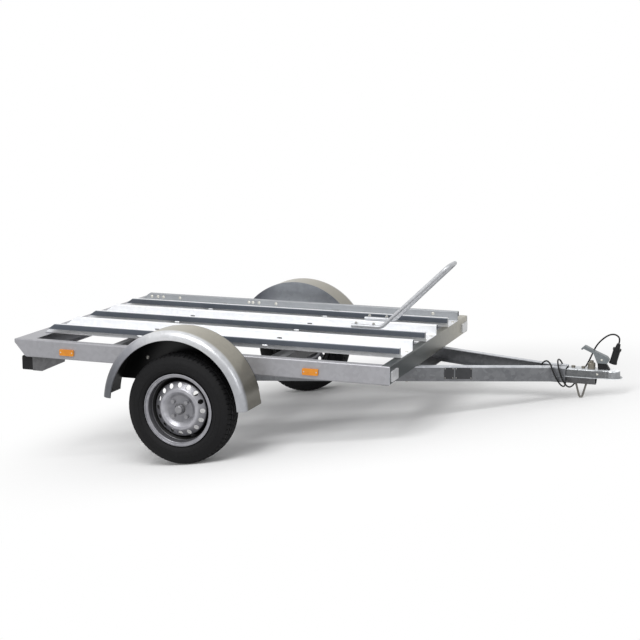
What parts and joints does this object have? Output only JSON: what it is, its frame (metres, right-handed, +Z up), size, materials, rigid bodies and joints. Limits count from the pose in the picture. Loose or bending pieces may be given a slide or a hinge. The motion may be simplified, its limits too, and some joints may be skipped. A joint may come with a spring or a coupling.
{
  "type": "motorcycle trailer",
  "caption": "Low galvanised trailer that carries motorcycles in long wheel channels, with a wheel-stop hoop, covered road wheels and a V drawbar with a ball coupling.",
  "frame": {"origin": "on the floor, under the middle of the parked trailer without its cable and plug", "axes": "+X forward along the drawbar, +Y to the trailer's left, +Z up"},
  "size_m": [2.9619, 1.854, 0.7496],
  "materials": {
    "galvanised": "hot-dip galvanised, faint spangle",
    "zinc": "zinc plated, satin",
    "wheel_silver": "silver paint, satin",
    "cast_steel": "rough",
    "tyre": "matt",
    "black_plastic": "fine grain",
    "cable_jacket": "satin",
    "red_lens": "ribbed, glossy",
    "amber_lens": "glossy",
    "clear_lens": "glossy"
  },
  "bodies": {
    "trailer": {"side_rail_left": "galvanised", "side_rail_right": "galvanised", "front_crossmember": "galvanised", "rear_crossmember": "galvanised", "front_bearer": "galvanised", "rear_bearer": "galvanised", "wheel_channel_left": "galvanised", "wheel_channel_centre": "galvanised", "wheel_channel_right": "galvanised", "wheel_hoop": "galvanised", "drawbar_beam_left": "galvanised", "drawbar_beam_right": "galvanised", "nose_tube": "zinc", "tie_plate": "galvanised", "coupling_body": "zinc", "coupling_handle": "zinc", "coupling_latch": "black_plastic", "coupling_bolts": "zinc", "parking_foot": "zinc", "axle_tube": "galvanised", "axle_hanger_left": "galvanised", "axle_hanger_right": "galvanised", "trailing_arm_left": "cast_steel", "trailing_arm_right": "cast_steel", "fender_left": "galvanised", "fender_right": "galvanised", "lamp_bracket_left": "galvanised", "lamp_bracket_right": "galvanised", "rear_lamp_left": "black_plastic", "rear_lamp_right": "black_plastic", "lamp_lens_left": "red_lens", "lamp_lens_right": "red_lens", "side_reflectors": "amber_lens", "front_reflectors": "clear_lens", "cable": "cable_jacket", "cable_gland": "black_plastic", "plug": "black_plastic"},
    "wheel_left": {"tyre_left": "tyre", "steel_wheel_left": "wheel_silver", "hub_left": "zinc"},
    "wheel_right": {"tyre_right": "tyre", "steel_wheel_right": "wheel_silver", "hub_right": "zinc"}
  },
  "joints": [
    {"name": "wheel_left_spin", "type": "hinge", "parent": "trailer", "child": "wheel_left", "pos_m": [-0.51621, 0.831, 0.2735], "axis": [0, 1, 0], "continuous": true},
    {"name": "wheel_right_spin", "type": "hinge", "parent": "trailer", "child": "wheel_right", "pos_m": [-0.51621, -0.831, 0.2735], "axis": [0, 1, 0], "continuous": true}
  ]
}
